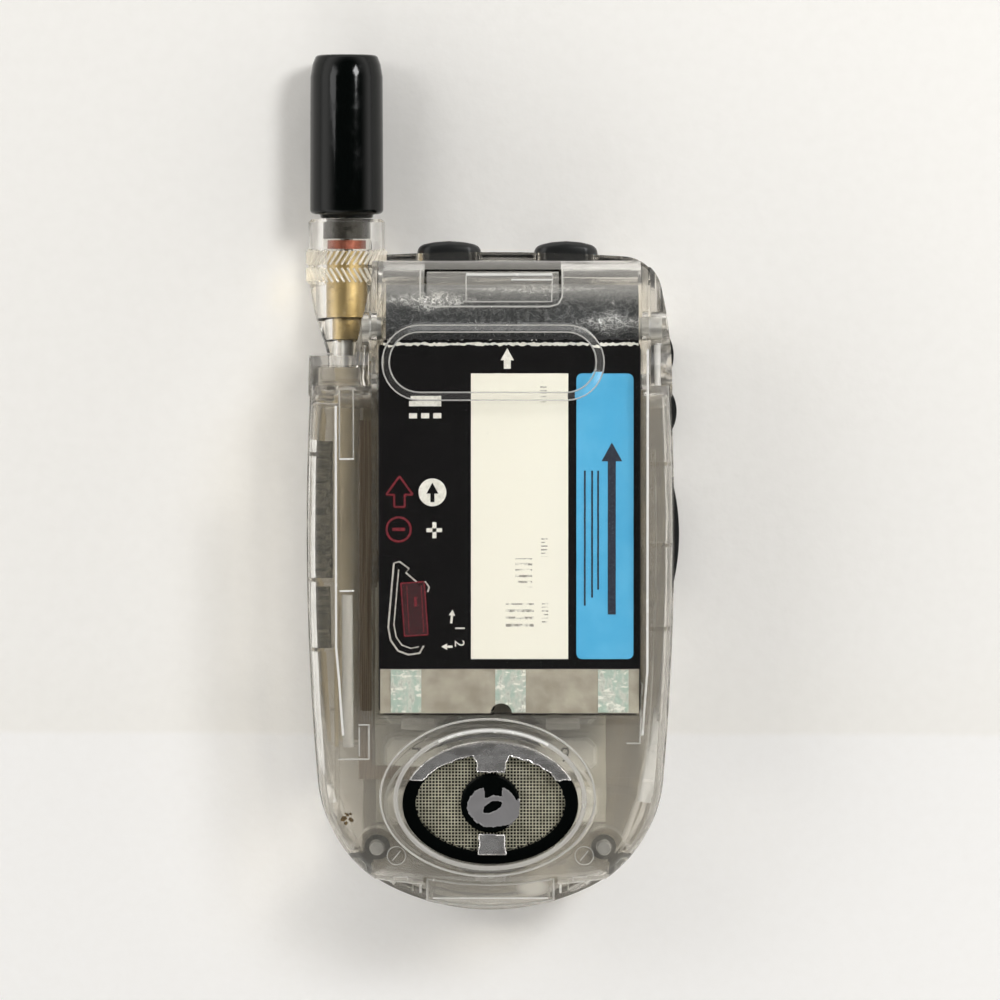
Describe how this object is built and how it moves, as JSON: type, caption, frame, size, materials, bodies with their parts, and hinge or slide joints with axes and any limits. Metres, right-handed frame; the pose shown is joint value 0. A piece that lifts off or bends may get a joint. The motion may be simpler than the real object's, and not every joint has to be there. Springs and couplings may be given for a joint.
{
  "type": "flip phone",
  "caption": "Clamshell mobile phone in a clear casing, with a pull-out antenna, a hinged lid that holds the battery under a tilting door, and an oval speaker grille.",
  "frame": {"origin": "middle of the rear housing's flat back, on which the closed phone lies", "axes": "+X across the phone, +Y towards the hinge and the antenna, +Z out of the lid's outer face"},
  "size_m": [0.047, 0.1078, 0.0255],
  "materials": {
    "clear_casing": "clear moulded plastic, smoky warm grey",
    "window": "clear window",
    "light_lens": "pale lens",
    "steel": "plain steel",
    "tinned_steel": "tinned sheet",
    "brass": "brass",
    "copper": "copper-red ring",
    "tube_plastic": "beige tube",
    "board": "green board",
    "dome_sheet": "milky sheet",
    "display": "grey-green display",
    "black_rubber": "black rubber",
    "black_plastic": "black plastic",
    "black_gloss": "glossy black plastic",
    "key_plastic": "milky key plastic",
    "battery_case": "black case",
    "battery_foil": "wrinkled silver foil",
    "battery_label": "printed label",
    "milky_plastic": "milky plastic",
    "iridescent_film": "iridescent film",
    "steel_mesh": "woven steel wire",
    "chrome": "worn chrome",
    "flex_film": "brown flexible circuit"
  },
  "bodies": {
    "base": {"rear_housing": "clear_casing", "front_housing": "clear_casing", "hinge_pins": "steel", "housing_screws": "steel", "main_board": "board", "end_board": "board", "board_shields": "tinned_steel", "key_dome_sheet": "dome_sheet", "display_module": "display", "display_window": "window", "microphone": "tinned_steel", "status_light_bezel": "black_rubber", "status_light_lens": "light_lens", "headset_jack": "black_plastic", "dock_connector": "black_plastic", "vibration_motor": "tinned_steel", "antenna_collar": "clear_casing", "antenna_insert": "brass", "antenna_copper_ring": "copper", "antenna_steel_ring": "steel", "antenna_tube": "tube_plastic", "antenna_contact": "brass"},
    "lid": {"lid_shell": "clear_casing", "lid_inner_cover": "clear_casing", "lid_screws": "steel", "lid_flex": "flex_film", "battery_pack": "battery_case", "battery_foil": "battery_foil", "battery_label": "battery_label", "battery_strip": "milky_plastic", "battery_pads": "iridescent_film", "speaker_ring": "black_gloss", "speaker_mesh": "steel_mesh", "speaker_disc": "black_gloss", "speaker_bridge": "chrome", "earpiece": "black_plastic"},
    "door": {"battery_door": "clear_casing"},
    "antenna": {"antenna_cap": "black_gloss", "antenna_rod": "steel", "antenna_stop": "brass"},
    "headset_plug": {"headset_plug": "black_rubber"},
    "motor_weight": {"motor_weight": "steel"},
    "send_key": {"send_key": "key_plastic"},
    "menu_key": {"menu_key": "key_plastic"},
    "end_key": {"end_key": "key_plastic"},
    "key_1": {"key_1": "key_plastic"},
    "key_2": {"key_2": "key_plastic"},
    "key_3": {"key_3": "key_plastic"},
    "key_4": {"key_4": "key_plastic"},
    "key_5": {"key_5": "key_plastic"},
    "key_6": {"key_6": "key_plastic"},
    "key_7": {"key_7": "key_plastic"},
    "key_8": {"key_8": "key_plastic"},
    "key_9": {"key_9": "key_plastic"},
    "key_star": {"key_star": "key_plastic"},
    "key_0": {"key_0": "key_plastic"},
    "key_hash": {"key_hash": "key_plastic"},
    "volume_up_key": {"volume_up_key": "black_rubber"},
    "volume_down_key": {"volume_down_key": "black_rubber"},
    "side_call_key": {"side_call_key": "black_rubber"}
  },
  "joints": [
    {"name": "lid_hinge", "type": "hinge", "parent": "base", "child": "lid", "pos_m": [0, 0.0315, 0.017], "axis": [-1, 0, 0], "range_deg": [0, 145]},
    {"name": "battery_door_tilt", "type": "hinge", "parent": "lid", "child": "door", "pos_m": [0, -0.0168, 0.02404], "axis": [1, 0, 0], "range_deg": [0, 45]},
    {"name": "antenna_slide", "type": "slide", "parent": "base", "child": "antenna", "axis": [0, 1, 0], "range_m": [0, 0.046]},
    {"name": "headset_plug_pull", "type": "slide", "parent": "base", "child": "headset_plug", "axis": [0, 1, 0], "range_m": [0, 0.008]},
    {"name": "motor_spin", "type": "hinge", "parent": "base", "child": "motor_weight", "pos_m": [0.0145, -0.0289, 0.0037], "axis": [1, 0, 0], "continuous": true},
    {"name": "send_key_press", "type": "slide", "parent": "base", "child": "send_key", "axis": [0, 0, -1], "range_m": [0, 0.0004], "stiffness_N_per_m": 300},
    {"name": "menu_key_press", "type": "slide", "parent": "base", "child": "menu_key", "axis": [0, 0, -1], "range_m": [0, 0.0004], "stiffness_N_per_m": 300},
    {"name": "end_key_press", "type": "slide", "parent": "base", "child": "end_key", "axis": [0, 0, -1], "range_m": [0, 0.0004], "stiffness_N_per_m": 300},
    {"name": "key_1_press", "type": "slide", "parent": "base", "child": "key_1", "axis": [0, 0, -1], "range_m": [0, 0.0004], "stiffness_N_per_m": 300},
    {"name": "key_2_press", "type": "slide", "parent": "base", "child": "key_2", "axis": [0, 0, -1], "range_m": [0, 0.0004], "stiffness_N_per_m": 300},
    {"name": "key_3_press", "type": "slide", "parent": "base", "child": "key_3", "axis": [0, 0, -1], "range_m": [0, 0.0004], "stiffness_N_per_m": 300},
    {"name": "key_4_press", "type": "slide", "parent": "base", "child": "key_4", "axis": [0, 0, -1], "range_m": [0, 0.0004], "stiffness_N_per_m": 300},
    {"name": "key_5_press", "type": "slide", "parent": "base", "child": "key_5", "axis": [0, 0, -1], "range_m": [0, 0.0004], "stiffness_N_per_m": 300},
    {"name": "key_6_press", "type": "slide", "parent": "base", "child": "key_6", "axis": [0, 0, -1], "range_m": [0, 0.0004], "stiffness_N_per_m": 300},
    {"name": "key_7_press", "type": "slide", "parent": "base", "child": "key_7", "axis": [0, 0, -1], "range_m": [0, 0.0004], "stiffness_N_per_m": 300},
    {"name": "key_8_press", "type": "slide", "parent": "base", "child": "key_8", "axis": [0, 0, -1], "range_m": [0, 0.0004], "stiffness_N_per_m": 300},
    {"name": "key_9_press", "type": "slide", "parent": "base", "child": "key_9", "axis": [0, 0, -1], "range_m": [0, 0.0004], "stiffness_N_per_m": 300},
    {"name": "key_star_press", "type": "slide", "parent": "base", "child": "key_star", "axis": [0, 0, -1], "range_m": [0, 0.0004], "stiffness_N_per_m": 300},
    {"name": "key_0_press", "type": "slide", "parent": "base", "child": "key_0", "axis": [0, 0, -1], "range_m": [0, 0.0004], "stiffness_N_per_m": 300},
    {"name": "key_hash_press", "type": "slide", "parent": "base", "child": "key_hash", "axis": [0, 0, -1], "range_m": [0, 0.0004], "stiffness_N_per_m": 300},
    {"name": "volume_up_key_press", "type": "slide", "parent": "base", "child": "volume_up_key", "axis": [-1, 0, 0], "range_m": [0, 0.0004], "stiffness_N_per_m": 300},
    {"name": "volume_down_key_press", "type": "slide", "parent": "base", "child": "volume_down_key", "axis": [-1, 0, 0], "range_m": [0, 0.0004], "stiffness_N_per_m": 300},
    {"name": "side_call_key_press", "type": "slide", "parent": "base", "child": "side_call_key", "axis": [-1, 0, 0], "range_m": [0, 0.0004], "stiffness_N_per_m": 300}
  ]
}
